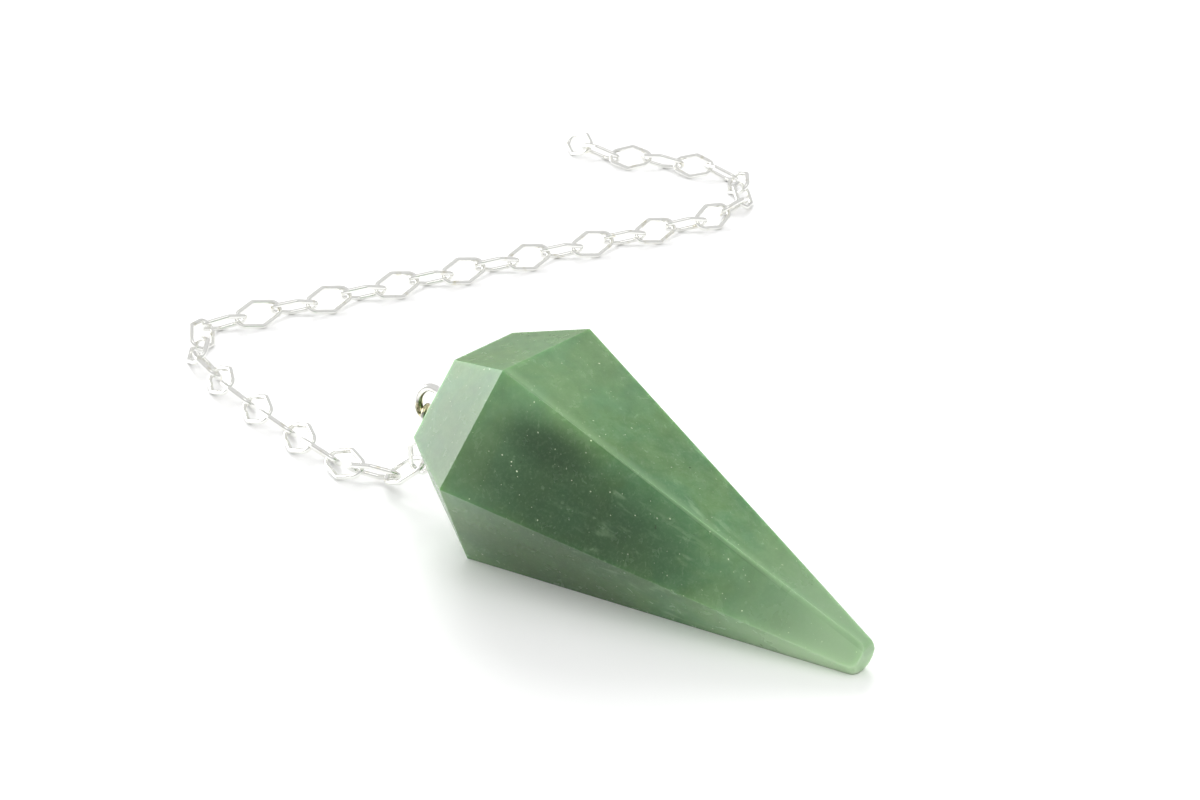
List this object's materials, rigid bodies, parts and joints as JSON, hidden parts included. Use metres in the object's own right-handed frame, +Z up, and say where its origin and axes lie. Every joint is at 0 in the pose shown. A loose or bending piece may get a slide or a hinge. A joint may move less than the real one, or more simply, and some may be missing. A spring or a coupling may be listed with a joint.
{
  "type": "pendulum pendant",
  "caption": "Faceted stone dowsing pendulum with a wire eye pin in its flat top and a loose chain of lozenge wire links, lying as if set down on a table.",
  "frame": {"origin": "on the table, under the middle of the whole thing as it lies", "axes": "+Z up from the table; +Y from the stone's tip at the front to the free end of the chain at the back, the longest extent; +X to the right"},
  "size_m": [0.0579, 0.114, 0.0174],
  "materials": {
    "stone": "polished",
    "silver_wire": "polished"
  },
  "bodies": {
    "root": {"stone": "stone", "eye_pin": "silver_wire", "chain_link_01": "silver_wire", "chain_link_02": "silver_wire", "chain_link_03": "silver_wire", "chain_link_04": "silver_wire", "chain_link_05": "silver_wire", "chain_link_06": "silver_wire", "chain_link_07": "silver_wire", "chain_link_08": "silver_wire", "chain_link_09": "silver_wire", "chain_link_10": "silver_wire", "chain_link_11": "silver_wire", "chain_link_12": "silver_wire", "chain_link_13": "silver_wire", "chain_link_14": "silver_wire", "chain_link_15": "silver_wire", "chain_link_16": "silver_wire", "chain_link_17": "silver_wire", "chain_link_18": "silver_wire", "chain_link_19": "silver_wire", "chain_link_20": "silver_wire", "chain_link_21": "silver_wire", "chain_link_22": "silver_wire", "chain_link_23": "silver_wire", "chain_link_24": "silver_wire", "chain_link_25": "silver_wire", "chain_link_26": "silver_wire", "chain_link_27": "silver_wire", "chain_link_28": "silver_wire", "chain_link_29": "silver_wire", "chain_link_30": "silver_wire", "chain_link_31": "silver_wire", "chain_link_32": "silver_wire", "chain_link_33": "silver_wire", "chain_link_34": "silver_wire", "chain_link_35": "silver_wire", "chain_link_36": "silver_wire", "chain_link_37": "silver_wire", "chain_link_38": "silver_wire", "chain_link_39": "silver_wire"}
  },
  "joints": []
}
